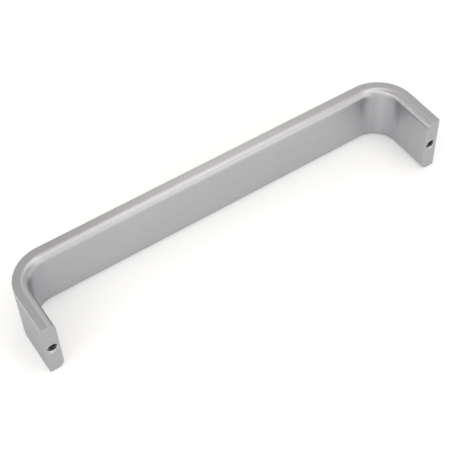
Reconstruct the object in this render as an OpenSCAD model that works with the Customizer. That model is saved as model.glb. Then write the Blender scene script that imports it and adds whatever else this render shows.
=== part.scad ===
// Pull handle for a drawer or a cupboard door, bent from one flat strip.
// The strip is the grip along X, turns through two bends, and ends in two short
// legs, each with a tapped blind hole. The cut ends of the legs lie in the
// mounting plane y = 0, with the origin midway between the holes. Sizes in mm.

/* [Handle] */
// Distance between the centres of the two fixing holes
hole_spacing = 160; // [96:16:320]
// Distance from the mounting plane to the outer face of the grip
projection = 31.5; // [28:0.5:45]
// Radius of the two bends, on the outer face
bend_r = 15; // [9:0.5:17]

/* [Strip] */
// Width of the strip, which stands upright on a drawer front
strip_w = 24; // [14:0.5:40]
// Thickness of the strip
strip_t = 5.5; // [5:0.1:8]
// Rounding of the two long edges on the finger side
finger_edge_r = 2.75; // [0.5:0.05:4]
// Rounding of the two long edges on the outer side
outer_edge_r = 0.4; // [0.1:0.05:0.9]

/* [Fixing holes] */
// Diameter of the tapping drill, which is the inner diameter of the thread
drill_d = 3.3; // [2.5:0.1:3.9]
// Depth of each hole, to the end of its full diameter
drill_depth = 14; // [8:0.5:16]
// Angle of the drill's point
drill_point_angle = 118; // [90:1:140]
// Diameter of the countersink at the mouth
countersink_d = 4.4; // [4:0.1:4.8]
// Angle of the countersink
countersink_angle = 90; // [60:5:120]

/* [Hidden] */
$fn = 96;
// How far a cutter reaches past the face that it cuts
over = 1;
// X of a leg's outer face
leg_x = hole_spacing / 2 + strip_t / 2;
// Straight lengths of the grip and of a leg, between the ends of the bends
grip_len = 2 * (leg_x - bend_r);
leg_len = projection - bend_r;
// Depths of the two cones of a fixing hole
countersink_depth = (countersink_d - drill_d) / 2 / tan(countersink_angle / 2);
drill_point_depth = drill_d / 2 / tan(drill_point_angle / 2);

// Cross-section of the strip: X is the depth from the outer face to the finger
// side, and Y is the width.
module strip_section() {
    round_x = strip_t - finger_edge_r;
    translate([0, outer_edge_r - strip_w / 2])
        square([round_x, strip_w - 2 * outer_edge_r]);
    translate([outer_edge_r, -strip_w / 2])
        square([round_x - outer_edge_r, strip_w]);
    translate([0, finger_edge_r - strip_w / 2])
        square([strip_t, strip_w - 2 * finger_edge_r]);
    for (side = [-1, 1]) {
        translate([round_x, side * (strip_w / 2 - finger_edge_r)])
            circle(finger_edge_r);
        translate([outer_edge_r, side * (strip_w / 2 - outer_edge_r)])
            circle(outer_edge_r);
    }
}

// Straight stretch between the two bends.
module grip() {
    translate([-grip_len / 2, -projection, 0])
        rotate([90, 0, 90])
            linear_extrude(grip_len)
                strip_section();
}

// Bend at the +X end of the grip, turning from the grip into the leg.
module bend() {
    translate([leg_x - bend_r, -leg_len, 0])
        rotate(-90)
            rotate_extrude(angle = 90)
                translate([bend_r, 0])
                    mirror([1, 0])
                        strip_section();
}

// Straight leg at the +X end, up to the mounting plane.
module leg() {
    translate([leg_x, -leg_len, 0])
        rotate([90, 0, 180])
            linear_extrude(leg_len)
                strip_section();
}

// Cutter for one tapped hole, drilled along -Y from the mounting plane.
module fixing_hole() {
    translate([hole_spacing / 2, 0, 0])
        rotate([90, 0, 0])
            rotate_extrude()
                polygon([
                    [0, -over],
                    [countersink_d / 2 + over * tan(countersink_angle / 2), -over],
                    [drill_d / 2, countersink_depth],
                    [drill_d / 2, drill_depth],
                    [0, drill_depth + drill_point_depth],
                ]);
}

// Repeats what is made at +X on the other end of the handle.
module both_ends() {
    children();
    mirror([1, 0, 0]) children();
}

module handle() {
    color([0.75, 0.75, 0.76])
        difference() {
            union() {
                grip();
                both_ends() {
                    bend();
                    leg();
                }
            }
            both_ends() fixing_hole();
        }
}

handle();
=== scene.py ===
"""Scene of a furniture pull handle, bent from one flat aluminium strip.

The handle stands on one long edge of the strip, on a pale floor. Everything is in
metres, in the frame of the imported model: X runs along the grip, Y points out of
the mounting plane towards the furniture, and Z is the width of the strip.
"""

from __future__ import annotations

import logging
import math
from dataclasses import dataclass, field
from enum import Enum, IntEnum

import bmesh
import bpy
from mathutils import Matrix, Vector


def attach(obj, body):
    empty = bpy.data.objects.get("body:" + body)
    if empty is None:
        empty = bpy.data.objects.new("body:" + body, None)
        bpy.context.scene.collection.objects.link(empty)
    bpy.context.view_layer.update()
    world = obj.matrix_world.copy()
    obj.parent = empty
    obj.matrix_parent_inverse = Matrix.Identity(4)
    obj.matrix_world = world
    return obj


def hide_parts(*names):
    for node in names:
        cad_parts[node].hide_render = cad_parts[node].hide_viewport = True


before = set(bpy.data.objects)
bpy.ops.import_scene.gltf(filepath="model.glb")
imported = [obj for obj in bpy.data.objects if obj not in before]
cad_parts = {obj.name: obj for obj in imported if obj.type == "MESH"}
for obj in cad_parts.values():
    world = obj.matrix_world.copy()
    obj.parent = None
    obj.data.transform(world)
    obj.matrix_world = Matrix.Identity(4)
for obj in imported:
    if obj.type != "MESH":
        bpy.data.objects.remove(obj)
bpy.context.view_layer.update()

MM = 0.001
# UV map of the strip, in metres across and along it
STRIP_MAP = "strip"
# Range in which most values of a noise lie
NOISE_RANGE = (0.3, 0.7)

Colour = tuple[float, float, float]
Socket = bpy.types.NodeSocket
log = logging.getLogger("pull_handle")


class Surface(IntEnum):
    """Kinds of surface on the handle, numbered as its material slots."""

    BRUSHED = 0
    CUT = 1
    TAPPED = 2
    COUNTERSUNK = 3


class End(Enum):
    """The two ends of the handle, by the sign of X."""

    RIGHT = 1
    LEFT = -1


def add_object(name: str, data: bpy.types.ID) -> bpy.types.Object:
    """Makes an object of a mesh, a lamp or a camera and links it to the scene."""
    made = bpy.data.objects.new(name, data)
    bpy.context.scene.collection.objects.link(made)
    return made


def add_mesh(name: str, bm: bmesh.types.BMesh) -> bpy.types.Object:
    """Makes an object of a mesh that is being edited, and frees the mesh."""
    mesh = bpy.data.meshes.new(name)
    bm.to_mesh(mesh)
    bm.free()
    return add_object(name, mesh)


def direction(azimuth: float, elevation: float) -> Vector:
    """Gives the direction of a place round the handle.

    Args:
        azimuth: Degrees round Z, from -Y towards +X.
        elevation: Degrees above the floor.

    Returns:
        The direction from the handle, of length 1.
    """
    turn, rise = math.radians(azimuth), math.radians(elevation)
    level = math.cos(rise)
    return Vector((math.sin(turn) * level, -math.cos(turn) * level, math.sin(rise)))


@dataclass(frozen=True)
class Grain:
    """Noise on a surface, with its scale in lines to a metre along each axis.

    Its detail is the number of finer layers on the first one, and its roughness
    says how strong they are.
    """

    scale: tuple[float, float, float]
    detail: float
    roughness: float = 0.5
    dimensions: str = "3D"


def streaks(across: float, along: float, detail: float) -> Grain:
    """Gives a noise that is drawn out one way of the strip's own map."""
    return Grain((across, along, 1.0), detail, roughness=0.6, dimensions="2D")


class NodeSheet:
    """Node tree of one material or world, with short ways to fill it."""

    def __init__(self, owner: bpy.types.Material | bpy.types.World) -> None:
        """Empties the owner's node tree.

        Args:
            owner: Material or world whose nodes are written.
        """
        owner.use_nodes = True
        self.tree = owner.node_tree
        self.tree.nodes.clear()

    def add(
        self, kind: str, inputs: dict | None = None, **settings: object
    ) -> bpy.types.Node:
        """Adds a node.

        Args:
            kind: Node type, without the ShaderNode in front.
            inputs: Values for its inputs, by name or number.
            settings: Its own settings, such as operation.

        Returns:
            The new node.
        """
        node = self.tree.nodes.new("ShaderNode" + kind)
        for name, value in settings.items():
            setattr(node, name, value)
        for name, value in (inputs or {}).items():
            node.inputs[name].default_value = value
        return node

    def join(self, start: Socket, end: Socket) -> None:
        """Links an output to an input."""
        self.tree.links.new(start, end)

    def show(self, shader: Socket, output: str = "OutputMaterial") -> None:
        """Makes a shader what the material or the world shows."""
        self.join(shader, self.add(output).inputs["Surface"])

    def noise(self, place: Socket, grain: Grain) -> Socket:
        """Adds a noise.

        Args:
            place: Output that gives the place on the piece.
            grain: How fine and how rough the noise is.

        Returns:
            The noise's value, from 0 to 1.
        """
        scale = self.add("Mapping", {"Scale": grain.scale})
        noise = self.add(
            "TexNoise",
            {"Scale": 1.0, "Detail": grain.detail, "Roughness": grain.roughness},
            noise_dimensions=grain.dimensions,
        )
        self.join(place, scale.inputs["Vector"])
        self.join(scale.outputs["Vector"], noise.inputs["Vector"])
        return noise.outputs["Fac"]

    def calculate(
        self, operation: str, first: Socket, second: Socket | float = 0.0
    ) -> Socket:
        """Works out a value from one or two others.

        Args:
            operation: What to do with them, such as MULTIPLY.
            first: First value.
            second: Second value, an output or a number.

        Returns:
            The result.
        """
        node = self.add("Math", operation=operation)
        self.join(first, node.inputs[0])
        if isinstance(second, float):
            node.inputs[1].default_value = second
        else:
            self.join(second, node.inputs[1])
        return node.outputs["Value"]

    def distance(self, value: Socket, middle: float) -> Socket:
        """Gives how far a value lies from another, on either side."""
        return self.calculate("ABSOLUTE", self.calculate("SUBTRACT", value, middle))

    def fade(self, value: Socket, none: float, full: float) -> Socket:
        """Turns a value into a soft share.

        Args:
            value: Value that the share follows.
            none: Where the share is 0.
            full: Where the share is 1.

        Returns:
            The share.
        """
        node = self.add(
            "MapRange",
            {"From Min": none, "From Max": full},
            interpolation_type="SMOOTHSTEP",
        )
        self.join(value, node.inputs["Value"])
        return node.outputs["Result"]

    def ramp(self, value: Socket, low: float, high: float) -> Socket:
        """Spreads the middle of a noise over a range.

        Args:
            value: Noise from 0 to 1.
            low: Result at the noise's dark end.
            high: Result at its bright end.

        Returns:
            The spread value.
        """
        dark, bright = NOISE_RANGE
        spread = self.add(
            "MapRange",
            {"From Min": dark, "From Max": bright, "To Min": low, "To Max": high},
        )
        self.join(value, spread.inputs["Value"])
        return spread.outputs["Result"]

    def mix(
        self, share: Socket, none: Colour | Socket, full: Colour | Socket
    ) -> Socket:
        """Mixes two colours.

        Args:
            share: Share of the second colour, from 0 to 1.
            none: Colour where the share is 0, an output or in linear light.
            full: Colour where the share is 1.

        Returns:
            The mixed colour.
        """
        node = self.add("Mix", data_type="RGBA")
        self.join(share, node.inputs["Factor"])
        for name, colour in (("A", none), ("B", full)):
            if isinstance(colour, tuple):
                node.inputs[name].default_value = (*colour, 1.0)
            else:
                self.join(colour, node.inputs[name])
        return node.outputs["Result"]

    def tint(self, value: Socket, colour: Colour, spread: float) -> Socket:
        """Varies a colour's lightness by a noise.

        Args:
            value: Noise from 0 to 1.
            colour: Colour in the middle of the noise, in linear light.
            spread: Share by which it darkens and lightens.

        Returns:
            The varied colour.
        """
        darker = tuple(c * (1 - spread) for c in colour)
        lighter = tuple(c * (1 + spread) for c in colour)
        return self.mix(self.ramp(value, 0.0, 1.0), darker, lighter)

    def bump(
        self, height: Socket, strength: float, depth: float, over: Socket | None = None
    ) -> Socket:
        """Adds a fine relief.

        Args:
            height: Height of the relief, from 0 to 1.
            strength: Share of the relief that shows.
            depth: Full height of the relief.
            over: Normal of a coarser relief that this one lies on.

        Returns:
            The normal of the surface with its relief.
        """
        node = self.add("Bump", {"Strength": strength, "Distance": depth})
        self.join(height, node.inputs["Height"])
        if over is not None:
            self.join(over, node.inputs["Normal"])
        return node.outputs["Normal"]

    def metal(
        self, colour: Socket, roughness: Socket, inputs: dict | None = None
    ) -> bpy.types.Node:
        """Adds a metal and shows it.

        Args:
            colour: Colour of the metal.
            roughness: Roughness of the metal.
            inputs: Values for its other inputs, by name.

        Returns:
            The metal's node.
        """
        node = self.add("BsdfPrincipled", {"Metallic": 1.0, **(inputs or {})})
        self.join(colour, node.inputs["Base Color"])
        self.join(roughness, node.inputs["Roughness"])
        self.show(node.outputs["BSDF"])
        return node


@dataclass(frozen=True)
class BrushedAluminium:
    """Clear anodised aluminium, finely brushed along the strip.

    Its places are on the strip's own map: the middle of a bend along the strip, the
    middle of the finger side across it, and how far from each the ripples and the
    painted shade inside the bends are full and reach.
    """

    name: str = "brushed_aluminium"
    colour: Colour = (0.461, 0.462, 0.478)
    spread: float = 0.03
    edge: Colour = (0.75, 0.75, 0.75)
    roughness: tuple[float, float] = (0.32, 0.37)
    stretch: float = 0.3
    hairlines: Grain = streaks(9000.0, 55.0, detail=2.0)
    bands: Grain = streaks(2400.0, 12.0, detail=3.0)
    clouds: Grain = streaks(110.0, 45.0, detail=2.0)
    cloud_share: float = 0.4
    hairline_strength: float = 0.1
    hairline_depth: float = 0.012 * MM
    ripples: Grain = streaks(12.0, 620.0, detail=1.0)
    ripple_depth: float = 0.03 * MM
    bend_middle: float = 77.4 * MM
    bend_full: float = 6 * MM
    bend_reach: float = 12 * MM
    # Half width of each bend's middle that the painted shade leaves out
    unshaded_reach: float = 3.2 * MM
    finger_side: float = 15.9 * MM
    finger_full: float = 9 * MM
    finger_reach: float = 12 * MM
    # Painted shade inside the bends, in streaks: its colour, the streaks and their
    # range
    bend_shade_colour: Colour = (0.42, 0.418, 0.437)
    bend_shade_streaks: Grain = streaks(30.0, 1300.0, detail=1.0)
    bend_shade_range: tuple[float, float] = (0.55, 1.15)

    def build(self) -> bpy.types.Material:
        """Builds the material, with faint ripples and painted shade across the inside
        of the bends.

        Returns:
            The material, which reads the strip's own UV map.
        """
        material = bpy.data.materials.new(self.name)
        sheet = NodeSheet(material)
        place = sheet.add("UVMap", uv_map=STRIP_MAP).outputs["UV"]
        bands = sheet.noise(place, self.bands)
        shades = sheet.add("Mix", {"Factor": self.cloud_share}, data_type="FLOAT")
        sheet.join(bands, shades.inputs["A"])
        sheet.join(sheet.noise(place, self.clouds), shades.inputs["B"])
        brushed = sheet.tint(shades.outputs["Result"], self.colour, self.spread)
        ripples, painted_shade = self._bend_ripples_and_shade(sheet, place)
        # Painted shade darkens the brushed colour inside the bends
        metal = sheet.metal(
            sheet.mix(painted_shade, brushed, self.bend_shade_colour),
            sheet.ramp(bands, *self.roughness),
            {"Anisotropic": self.stretch, "Specular Tint": (*self.edge, 1.0)},
        )
        normal = sheet.bump(
            sheet.noise(place, self.hairlines),
            self.hairline_strength,
            self.hairline_depth,
            over=sheet.bump(ripples, 1.0, self.ripple_depth),
        )
        tangent = sheet.add("Tangent", direction_type="UV_MAP", uv_map=STRIP_MAP)
        sheet.join(normal, metal.inputs["Normal"])
        sheet.join(tangent.outputs["Tangent"], metal.inputs["Tangent"])
        return material

    def _bend_ripples_and_shade(self, sheet: NodeSheet, place: Socket) -> tuple[Socket, Socket]:
        """Adds the ripples across the inside of the bends, and painted shade beside
        each bend's middle.

        The painted shade leaves the middle of each bend as bright as the rest of the
        strip.

        Args:
            sheet: Node sheet of the material.
            place: Output that gives the place on the strip, across and along.

        Returns:
            The height of the ripples, and the share of painted shade, from 0 to 1. Both
            fade to nothing away from the bends.
        """
        parts = sheet.add("SeparateXYZ")
        sheet.join(place, parts.inputs[0])
        from_grip = sheet.calculate("ABSOLUTE", parts.outputs["Y"])
        off_middle = sheet.distance(from_grip, self.bend_middle)
        off_side = sheet.distance(parts.outputs["X"], self.finger_side)
        in_bend = sheet.fade(off_middle, self.bend_reach, self.bend_full)
        inside = sheet.fade(off_side, self.finger_reach, self.finger_full)
        ripple_and_shade_share = sheet.calculate("MULTIPLY", in_bend, inside)
        unshaded_middle = sheet.calculate(
            "MULTIPLY", ripple_and_shade_share, sheet.fade(off_middle, self.unshaded_reach, 0.0)
        )
        # Painted shade: the inside of the bend, less its middle
        painted_shade = sheet.calculate("SUBTRACT", ripple_and_shade_share, unshaded_middle)
        # Streaks make the painted shade uneven
        uneven_shade = sheet.ramp(sheet.noise(place, self.bend_shade_streaks), *self.bend_shade_range)
        return (
            sheet.calculate("MULTIPLY", sheet.noise(place, self.ripples), ripple_and_shade_share),
            sheet.calculate("MULTIPLY", painted_shade, uneven_shade),
        )


@dataclass(frozen=True)
class CutAluminium:
    """Cut end of the strip: a fine matt grain with no direction."""

    name: str = "cut_aluminium"
    colour: Colour = (0.429, 0.43, 0.451)
    spread: float = 0.05
    roughness: tuple[float, float] = (0.48, 0.56)
    mottle: Grain = Grain((1300.0, 1300.0, 1300.0), detail=2.0)
    grain: Grain = Grain((2600.0, 2600.0, 2600.0), detail=3.0)
    grain_strength: float = 0.3
    grain_depth: float = 0.02 * MM

    def build(self) -> bpy.types.Material:
        """Builds the material.

        Returns:
            The material, which reads Object coordinates.
        """
        material = bpy.data.materials.new(self.name)
        sheet = NodeSheet(material)
        place = sheet.add("TexCoord").outputs["Object"]
        grain = sheet.noise(place, self.grain)
        metal = sheet.metal(
            sheet.tint(sheet.noise(place, self.mottle), self.colour, self.spread),
            sheet.ramp(grain, *self.roughness),
        )
        normal = sheet.bump(grain, self.grain_strength, self.grain_depth)
        sheet.join(normal, metal.inputs["Normal"])
        return material


@dataclass(frozen=True)
class CountersunkAluminium(CutAluminium):
    """Mouth of a fixing hole, turned bright by the countersink."""

    name: str = "countersunk_aluminium"
    colour: Colour = (0.51, 0.505, 0.497)
    roughness: tuple[float, float] = (0.2, 0.3)
    grain_depth: float = 0.004 * MM


@dataclass(frozen=True)
class TappedAluminium:
    """Inside of a fixing hole, left bright by the drill and the tap."""

    name: str = "tapped_aluminium"
    colour: Colour = (0.44, 0.43, 0.415)
    spread: float = 0.06
    roughness: tuple[float, float] = (0.14, 0.26)
    grain: Grain = Grain((500.0, 9000.0, 500.0), detail=2.0)

    def build(self) -> bpy.types.Material:
        """Builds the material.

        Returns:
            The material, which reads Object coordinates.
        """
        material = bpy.data.materials.new(self.name)
        sheet = NodeSheet(material)
        grain = sheet.noise(sheet.add("TexCoord").outputs["Object"], self.grain)
        sheet.metal(
            sheet.tint(grain, self.colour, self.spread),
            sheet.ramp(grain, *self.roughness),
        )
        return material


@dataclass(frozen=True)
class StripSection:
    """Cross-section of the strip, with its depth counted from the outer face."""

    width: float = 24 * MM
    thickness: float = 5.5 * MM
    finger_edge_r: float = 2.75 * MM
    outer_edge_r: float = 0.4 * MM
    finger_edge_steps: int = 16
    outer_edge_steps: int = 6
    level_digits: int = 7

    def draw(self, bm: bmesh.types.BMesh, outer_y: float) -> list[bmesh.types.BMEdge]:
        """Draws the section in the plane X = 0, as a loop of edges.

        Each corner carries its distance round the section in the layer "around",
        which the swept copies of the loop inherit. The count starts at the lower
        outer edge, where a seam in the brushing shows least.

        Args:
            bm: Mesh to draw in.
            outer_y: Y of the strip's outer face.

        Returns:
            The edges of the section.
        """
        around = bm.verts.layers.float.new("around")
        half = self.width / 2
        inner_y = outer_y + self.thickness
        corners = {
            (y, z): bm.verts.new((0.0, y, z))
            for y, z in (
                (outer_y, -half),
                (inner_y, -half),
                (inner_y, half),
                (outer_y, half),
            )
        }
        bm.faces.new(corners.values())
        for y, radius, steps in (
            (inner_y, self.finger_edge_r, self.finger_edge_steps),
            (outer_y, self.outer_edge_r, self.outer_edge_steps),
        ):
            bmesh.ops.bevel(
                bm,
                geom=[v for (corner_y, _), v in corners.items() if corner_y == y],
                offset=radius,
                offset_type="OFFSET",
                segments=steps,
                profile=0.5,
                affect="VERTICES",
                material=-1,
            )
        bm.faces.ensure_lookup_table()
        face = bm.faces[0]
        loops = list(face.loops)
        places = [loop.vert.co for loop in loops]
        first = min(
            range(len(loops)),
            key=lambda i: (round(places[i].z, self.level_digits), places[i].y),
        )
        distance = 0.0
        for loop in loops[first:] + loops[:first]:
            loop.vert[around] = distance
            distance += loop.edge.calc_length()
        edges = list(face.edges)
        bmesh.ops.delete(bm, geom=[face], context="FACES_ONLY")
        return edges


@dataclass(frozen=True)
class StripPath:
    """Way of the strip through the grip, the bends and the legs."""

    hole_spacing: float = 160 * MM
    projection: float = 31.5 * MM
    bend_r: float = 15 * MM
    bend_steps: int = 36

    def leg_x(self, section: StripSection) -> float:
        """X of a leg's outer face, with the hole in the middle of the leg."""
        return self.hole_spacing / 2 + section.thickness / 2

    def half_grip(self, section: StripSection) -> float:
        """Straight length from the middle of the grip to a bend."""
        return self.leg_x(section) - self.bend_r

    def leg_length(self) -> float:
        """Straight length from a bend to the cut end."""
        return self.projection - self.bend_r

    def along(self, place: Vector, section: StripSection) -> float:
        """Measures how far along the strip a point lies.

        Args:
            place: Point on the handle.
            section: Cross-section of the strip.

        Returns:
            Distance along the middle of the strip, from the middle of the grip.
        """
        straight = self.half_grip(section)
        out = abs(place.x) - straight
        back = -self.leg_length() - place.y
        bend = self.bend_r - section.thickness / 2
        if out <= 0:
            distance = abs(place.x)
        elif back <= 0:
            distance = straight + bend * math.pi / 2 - back
        else:
            distance = straight + bend * math.atan2(out, back)
        return math.copysign(distance, place.x)


@dataclass(frozen=True)
class TappedHole:
    """Blind hole for an M4 screw: drilled, countersunk at the mouth and tapped."""

    drill_d: float = 3.3 * MM
    drill_depth: float = 14 * MM
    point_angle: float = math.radians(118)
    mouth_d: float = 4.4 * MM
    mouth_angle: float = math.radians(90)
    thread_d: float = 4.0 * MM
    pitch: float = 0.7 * MM
    thread_depth: float = 11.2 * MM
    flank_angle: float = math.radians(30)
    root_share: float = 0.125
    tap_play: float = 0.05 * MM
    spare_turns: int = 2
    steps: int = 72
    over: float = 1 * MM
    weld: float = 0.0001 * MM

    def drill(self, name: str, x: float) -> bpy.types.Object:
        """Makes the shape that the drill and the countersink take out.

        Args:
            name: Name of the cutter.
            x: X of the hole's axis.

        Returns:
            The cutter, a solid of revolution.
        """
        bore_r, mouth_r = self.drill_d / 2, self.mouth_d / 2
        mouth_slope = math.tan(self.mouth_angle / 2)
        profile = (
            (0.0, self.over),
            (mouth_r + self.over * mouth_slope, self.over),
            (bore_r, -(mouth_r - bore_r) / mouth_slope),
            (bore_r, -self.drill_depth),
            (0.0, -self.drill_depth - bore_r / math.tan(self.point_angle / 2)),
        )
        bm = bmesh.new()
        bmesh.ops.spin(
            bm,
            geom=self._line(bm, profile, x),
            cent=(x, 0.0, 0.0),
            axis=(0.0, 1.0, 0.0),
            angle=math.tau,
            steps=self.steps,
            use_merge=True,
        )
        return self._solid(bm, name)

    def tap(self, name: str, x: float) -> bpy.types.Object:
        """Makes the shape that the tap takes out, a screw with a sharp thread.

        The thread is right-handed, and it starts outside the mouth, so that the
        countersink shows its first turn running out. The rod is a little thinner
        than the bore, so that their walls don't meet.

        Args:
            name: Name of the cutter.
            x: X of the hole's axis.

        Returns:
            The cutter, a threaded rod that is closed at both ends.
        """
        root, slope = self.pitch * self.root_share, math.tan(self.flank_angle)
        rod_r, thread_r = self.drill_d / 2 - self.tap_play, self.thread_d / 2
        half_groove = root / 2 + (thread_r - rod_r) * slope
        start = -self.thread_depth - self.pitch
        profile = tuple(
            (radius, start + height)
            for radius, height in (
                (rod_r, 0.0),
                (rod_r, self.pitch - 2 * half_groove),
                (thread_r, self.pitch - half_groove - root / 2),
                (thread_r, self.pitch - half_groove + root / 2),
                (rod_r, self.pitch),
            )
        )
        length = self.thread_depth + self.over
        turns = math.ceil(length / self.pitch) + self.spare_turns
        bm = bmesh.new()
        bmesh.ops.spin(
            bm,
            geom=self._line(bm, profile, x),
            cent=(x, 0.0, 0.0),
            axis=(0.0, 1.0, 0.0),
            dvec=(0.0, self.pitch / self.steps, 0.0),
            angle=math.tau * turns,
            steps=self.steps * turns,
        )
        bmesh.ops.remove_doubles(bm, verts=bm.verts, dist=self.weld)
        for y, outwards in ((-self.thread_depth, -1.0), (self.over, 1.0)):
            bmesh.ops.bisect_plane(
                bm,
                geom=[*bm.verts, *bm.edges, *bm.faces],
                dist=self.weld,
                plane_co=(0.0, y, 0.0),
                plane_no=(0.0, outwards, 0.0),
                clear_outer=True,
            )
        bmesh.ops.holes_fill(bm, edges=[e for e in bm.edges if e.is_boundary])
        return self._solid(bm, name)

    @staticmethod
    def _line(
        bm: bmesh.types.BMesh, profile: tuple[tuple[float, float], ...], x: float
    ) -> list[bmesh.types.BMVert | bmesh.types.BMEdge]:
        """Draws half a profile beside the axis.

        Args:
            bm: Mesh to draw in.
            profile: Radius and Y of each corner.
            x: X of the axis.

        Returns:
            Its vertices and edges.
        """
        verts = [bm.verts.new((x + radius, y, 0.0)) for radius, y in profile]
        edges = [bm.edges.new(pair) for pair in zip(verts, verts[1:])]
        return [*verts, *edges]

    def _solid(self, bm: bmesh.types.BMesh, name: str) -> bpy.types.Object:
        """Closes a spun shape and makes it an object.

        Args:
            bm: Mesh of the shape, which is freed.
            name: Name of the object.

        Returns:
            The object.
        """
        bmesh.ops.remove_doubles(bm, verts=bm.verts, dist=self.weld)
        bmesh.ops.recalc_face_normals(bm, faces=bm.faces)
        return add_mesh(name, bm)


@dataclass
class Handle:
    """The whole handle, one strip with a tapped hole in each cut end.

    The last five sizes tell its surfaces apart: how far a countersunk face's normal
    may be off its slant, how deep the mouths reach, from where on a normal counts as
    square to the cut end, how far the rim of a hole reaches, and the angle from which
    an edge is sharp.
    """

    section: StripSection = field(default_factory=StripSection)
    path: StripPath = field(default_factory=StripPath)
    hole: TappedHole = field(default_factory=TappedHole)
    end_break: float = 0.12 * MM
    end_break_steps: int = 3
    weld: float = 0.001 * MM
    finishes: tuple[BrushedAluminium | CutAluminium | TappedAluminium, ...] = (
        BrushedAluminium(),
        CutAluminium(),
        TappedAluminium(),
        CountersunkAluminium(),
    )
    slant_play: float = 0.03
    mouth_reach: float = 1 * MM
    square: float = 0.999
    rim: float = 0.01 * MM
    sharp_angle: float = math.radians(40)

    def build(self) -> bpy.types.Object:
        """Builds the handle, dresses it and puts it on its CAD body.

        Returns:
            The handle.
        """
        handle = self._bend_strip()
        for end in End:
            x = end.value * self.path.hole_spacing / 2
            self._cut(handle, self.hole.drill("drill", x))
            self._cut(handle, self.hole.tap("tap", x))
        self._dress(handle)
        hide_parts("handle")
        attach(handle, "root")
        log.info("%s: %d faces", handle.name, len(handle.data.polygons))
        return handle

    def _bend_strip(self) -> bpy.types.Object:
        """Sweeps the section along one half of the path and mirrors it.

        Returns:
            The strip, closed at both ends and without its holes.
        """
        section, path = self.section, self.path
        half, leg = path.half_grip(section), path.leg_length()
        bm = bmesh.new()
        loop = section.draw(bm, -path.projection)
        loop = self._pull(bm, loop, Vector((half, 0.0, 0.0)))
        bend = bmesh.ops.spin(
            bm,
            geom=[*loop, *{v for e in loop for v in e.verts}],
            cent=(half, -leg, 0.0),
            axis=(0.0, 0.0, 1.0),
            angle=math.pi / 2,
            steps=path.bend_steps,
        )["geom_last"]
        loop = [g for g in bend if isinstance(g, bmesh.types.BMEdge)]
        loop = self._pull(bm, loop, Vector((0.0, leg, 0.0)))
        cap = bmesh.ops.edgeloop_fill(bm, edges=loop)["faces"]
        bmesh.ops.bevel(
            bm,
            geom=list(cap[0].edges),
            offset=self.end_break,
            offset_type="OFFSET",
            segments=self.end_break_steps,
            profile=0.5,
            affect="EDGES",
            material=-1,
        )
        whole = [*bm.verts, *bm.edges, *bm.faces]
        bmesh.ops.mirror(bm, geom=whole, axis="X", merge_dist=self.weld)
        bmesh.ops.remove_doubles(bm, verts=bm.verts, dist=self.weld)
        bmesh.ops.recalc_face_normals(bm, faces=bm.faces)
        self._unroll(bm)
        return add_mesh("handle_strip", bm)

    @staticmethod
    def _pull(
        bm: bmesh.types.BMesh, loop: list[bmesh.types.BMEdge], way: Vector
    ) -> list[bmesh.types.BMEdge]:
        """Extrudes a loop of edges in a straight line.

        Args:
            bm: Mesh of the loop.
            loop: Edges to extrude.
            way: Direction and length.

        Returns:
            The edges at the far end.
        """
        new = bmesh.ops.extrude_edge_only(bm, edges=loop)["geom"]
        verts = [g for g in new if isinstance(g, bmesh.types.BMVert)]
        bmesh.ops.translate(bm, verts=verts, vec=way)
        return [g for g in new if isinstance(g, bmesh.types.BMEdge)]

    def _unroll(self, bm: bmesh.types.BMesh) -> None:
        """Writes the strip's UV map, in metres across and along the strip.

        Args:
            bm: Mesh of the strip.
        """
        around = bm.verts.layers.float["around"]
        uv = bm.loops.layers.uv.new(STRIP_MAP)
        whole = max(v[around] for v in bm.verts)
        for face in bm.faces:
            highest = max(loop.vert[around] for loop in face.loops)
            for loop in face.loops:
                across = loop.vert[around]
                if highest - across > whole / 2:
                    across += whole
                along = self.path.along(loop.vert.co, self.section)
                loop[uv].uv = (across, along)

    @staticmethod
    def _cut(body: bpy.types.Object, cutter: bpy.types.Object) -> None:
        """Takes a cutter's shape out of a body and removes the cutter.

        Args:
            body: Object to cut.
            cutter: Closed shape to take out.
        """
        cut = body.modifiers.new("cut", "BOOLEAN")
        cut.operation, cut.solver, cut.object = "DIFFERENCE", "EXACT", cutter
        bpy.context.view_layer.update()
        shape = body.evaluated_get(bpy.context.evaluated_depsgraph_get())
        before, after = body.data, bpy.data.meshes.new_from_object(shape)
        body.modifiers.clear()
        body.data = after
        tool = cutter.data
        bpy.data.objects.remove(cutter)
        bpy.data.meshes.remove(tool)
        bpy.data.meshes.remove(before)
        after.name = body.name

    def _from_axis(self, place: Vector) -> float:
        """Distance of a point from the axis of the nearer hole."""
        return math.hypot(abs(place.x) - self.path.hole_spacing / 2, place.z)

    def _surface(self, face: bmesh.types.BMFace) -> Surface:
        """Tells which surface a face belongs to.

        Args:
            face: Face of the finished handle.

        Returns:
            Its kind of surface.
        """
        centre = face.calc_center_median()
        in_hole = self._from_axis(centre) < self.hole.mouth_d / 2
        off_slant = abs(face.normal.y - math.sin(self.hole.mouth_angle / 2))
        slanted = off_slant < self.slant_play and centre.y > -self.mouth_reach
        if slanted and in_hole:
            return Surface.COUNTERSUNK
        if face.normal.y > self.square and centre.y > -self.weld:
            return Surface.CUT
        if in_hole and centre.y > -self.path.leg_length():
            return Surface.TAPPED
        return Surface.BRUSHED

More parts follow.
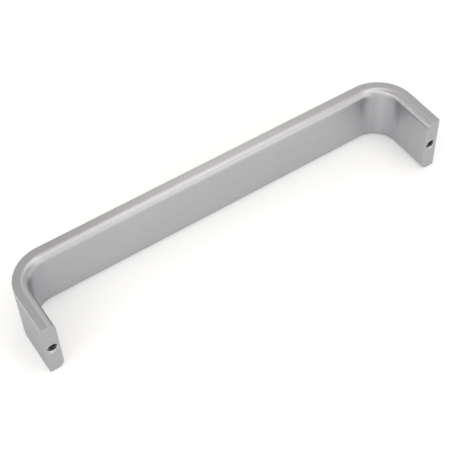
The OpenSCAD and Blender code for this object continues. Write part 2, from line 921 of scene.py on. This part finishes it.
    def _dress(self, handle: bpy.types.Object) -> None:
        """Gives each surface its finish and shades the handle smooth.

        The faces outside the holes keep their flats flat, and the threads are left
        as they are.

        Args:
            handle: The handle with its holes cut.
        """
        handle.data.materials.clear()
        for finish in self.finishes:
            handle.data.materials.append(finish.build())
        bm = bmesh.new()
        bm.from_mesh(handle.data)
        bmesh.ops.triangulate(bm, faces=[f for f in bm.faces if len(f.verts) > 4])
        for face in bm.faces:
            face.material_index = self._surface(face)
            face.smooth = True
        for edge in bm.edges:
            surfaces = {face.material_index for face in edge.link_faces}
            tapped_rim = Surface.TAPPED in surfaces and len(surfaces) > 1
            shallow = edge.calc_face_angle(0.0) < self.sharp_angle
            edge.smooth = shallow and not tapped_rim
        bm.to_mesh(handle.data)
        bm.free()
        outside = handle.vertex_groups.new(name="outside_the_holes")
        points = [v.index for v in handle.data.vertices if not self._holed(v.co)]
        outside.add(points, 1.0, "ADD")
        even = handle.modifiers.new("flats_stay_flat", "WEIGHTED_NORMAL")
        even.keep_sharp = True
        even.vertex_group = outside.name

    def _holed(self, place: Vector) -> bool:
        """Tells whether a point of the handle lies in or on the rim of a hole."""
        reach = self.hole.mouth_d / 2 + self.rim
        return self._from_axis(place) < reach and place.y > -self.path.leg_length()


@dataclass(frozen=True)
class PhotoCamera:
    """Camera at the photograph's viewing angle, with its angles in degrees."""

    azimuth: float = 148.313
    elevation: float = 50.608
    roll: float = -2.395
    distance: float = 402.394 * MM
    target: tuple[float, float, float] = (4.661 * MM, -10.931 * MM, 0.0)
    focal_px: float = 1133.857
    image_px: float = 452.0
    sensor: float = 36.0
    nearest: float = 0.01
    farthest: float = 50.0

    def place(self) -> bpy.types.Object:
        """Makes the camera and gives it to the scene.

        Returns:
            The camera.
        """
        back = direction(self.azimuth, self.elevation)
        level = Vector((0.0, 0.0, 1.0)).cross(back).normalized()
        right = Matrix.Rotation(math.radians(self.roll), 3, back) @ level
        up = back.cross(right)
        data = bpy.data.cameras.new("photo_camera")
        data.sensor_width = self.sensor
        data.lens = self.sensor * self.focal_px / self.image_px
        data.clip_start, data.clip_end = self.nearest, self.farthest
        camera = add_object("photo_camera", data)
        turned = Matrix((right, up, back)).transposed().to_4x4()
        eye = Vector(self.target) + back * self.distance
        camera.matrix_world = Matrix.Translation(eye) @ turned
        bpy.context.scene.camera = camera
        return camera


@dataclass(frozen=True)
class Softbox:
    """One flat lamp that points at the handle, with its angles in degrees.

    Its strength is how bright its face looks, where 1 is white.
    """

    name: str
    azimuth: float
    elevation: float
    strength: float
    width: float
    height: float
    distance: float = 0.7
    colour: Colour = (1.0, 0.978, 0.945)

    def hang(self) -> bpy.types.Object:
        """Makes the lamp.

        Returns:
            The lamp.
        """
        towards = direction(self.azimuth, self.elevation)
        data = bpy.data.lights.new(self.name, "AREA")
        data.shape, data.size, data.size_y = "RECTANGLE", self.width, self.height
        data.energy = math.pi * self.width * self.height * self.strength
        data.color = self.colour
        lamp = add_object(self.name, data)
        lamp.location = towards * self.distance
        lamp.rotation_euler = towards.to_track_quat("Z", "Y").to_euler()
        return lamp


@dataclass(frozen=True)
class Studio:
    """White floor, soft lamps and a pale surrounding.

    The surrounding is white at the horizon and dimmer in one place of its sky. The
    floor glows a little, and more where it is far from the handle.
    """

    floor_z: float = -12.02 * MM
    floor_size: float = 6.0
    floor_colour: Colour = (0.793, 0.8, 0.812)
    floor_glow: float = 0.21
    far_glow: float = 0.4
    far_starts: float = 0.35
    far_ends: float = 1.3
    horizon: Colour = (1.0, 1.0, 1.0)
    sky: Colour = (0.784, 0.766, 0.733)
    sky_starts: float = math.radians(25)
    dim_sky: Colour = (0.61, 0.596, 0.57)
    dim_azimuth: float = 350.0
    dim_elevation: float = 58.0
    dim_starts: float = math.radians(22)
    dim_ends: float = math.radians(6)
    lamps: tuple[Softbox, ...] = (
        Softbox("front", 203.0, 20.0, 0.95, width=0.44, height=0.4),
        Softbox("front_high", 220.0, 58.0, 1.42, width=0.34, height=0.3),
        Softbox("top", 290.0, 72.0, 1.14, width=0.34, height=0.3),
        Softbox("top_front", 160.0, 60.0, 1.05, width=0.4, height=0.3),
        Softbox("left_front", 152.0, 36.0, 0.78, width=0.3, height=0.3),
        Softbox("left", 115.0, 35.0, 1.66, width=0.3, height=0.3),
        Softbox("left_back", 80.0, 28.0, 1.15, width=0.3, height=0.3),
        Softbox("low_back", 55.0, 8.0, 1.33, width=0.38, height=0.2),
        Softbox("back", 331.0, 48.0, 0.76, width=0.16, height=0.26),
        Softbox("left_back_high", 38.0, 46.0, 0.36, width=0.3, height=0.26),
        Softbox("low_right", 305.0, 12.0, 0.26, width=0.4, height=0.25),
    )

    def build(self) -> None:
        """Makes the floor, the lamps and the surrounding."""
        bm = bmesh.new()
        bmesh.ops.create_grid(
            bm,
            x_segments=1,
            y_segments=1,
            size=self.floor_size / 2,
            matrix=Matrix.Translation((0.0, 0.0, self.floor_z)),
        )
        floor = add_mesh("floor", bm)
        floor.data.materials.append(self._floor_material())
        for lamp in self.lamps:
            lamp.hang()
        self._surround()

    def _surround(self) -> None:
        """Makes the surrounding, with its white horizon and its dimmer place."""
        world = bpy.data.worlds.new("surrounding")
        bpy.context.scene.world = world
        sheet = NodeSheet(world)
        way = sheet.add("TexCoord").outputs["Generated"]
        height = sheet.add("SeparateXYZ")
        sheet.join(way, height.inputs[0])
        high = sheet.fade(height.outputs["Z"], 0.0, math.sin(self.sky_starts))
        dim = direction(self.dim_azimuth, self.dim_elevation)
        near = sheet.add("VectorMath", {1: dim}, operation="DOT_PRODUCT")
        sheet.join(way, near.inputs[0])
        dimmed = sheet.fade(
            near.outputs["Value"], math.cos(self.dim_starts), math.cos(self.dim_ends)
        )
        above = sheet.mix(dimmed, self.sky, self.dim_sky)
        light = sheet.add("Background")
        sheet.join(sheet.mix(high, self.horizon, above), light.inputs["Color"])
        sheet.show(light.outputs["Background"], "OutputWorld")

    def _floor_material(self) -> bpy.types.Material:
        """Builds the floor's matt white, which keeps the handle's shadow.

        The camera, metal and glass see it a little brighter than the lamps make it,
        so that it is the white of the background to all of them. Far from the
        handle, where the lamps don't reach, it glows more.

        Returns:
            The material.
        """
        material = bpy.data.materials.new("white_floor")
        sheet = NodeSheet(material)
        distance = sheet.add("VectorMath", operation="LENGTH")
        sheet.join(sheet.add("TexCoord").outputs["Object"], distance.inputs[0])
        far = sheet.fade(distance.outputs["Value"], self.far_starts, self.far_ends)
        extra = sheet.calculate("MULTIPLY", far, self.far_glow - self.floor_glow)
        strength = sheet.calculate("ADD", extra, self.floor_glow)
        ray = sheet.add("LightPath")
        seen = ray.outputs["Is Camera Ray"]
        for kind in ("Is Glossy Ray", "Is Transmission Ray"):
            seen = sheet.calculate("MAXIMUM", seen, ray.outputs[kind])
        glow = sheet.add("Emission")
        sheet.join(sheet.calculate("MULTIPLY", seen, strength), glow.inputs["Strength"])
        matt = sheet.add("BsdfDiffuse", {"Color": (*self.floor_colour, 1.0)})
        both = sheet.add("AddShader")
        sheet.join(matt.outputs["BSDF"], both.inputs[0])
        sheet.join(glow.outputs["Emission"], both.inputs[1])
        sheet.show(both.outputs["Shader"])
        return material


def main() -> None:
    """Builds the camera, the handle and the studio, in that order."""
    logging.basicConfig(level=logging.INFO, format="%(name)s: %(message)s")
    scene = bpy.context.scene
    scene.view_settings.view_transform = "Standard"
    camera = PhotoCamera().place()
    log.info("%s: lens %.1f mm", camera.name, camera.data.lens)
    Handle().build()
    Studio().build()
    log.info("studio: built")


if __name__ == "__main__":
    main()
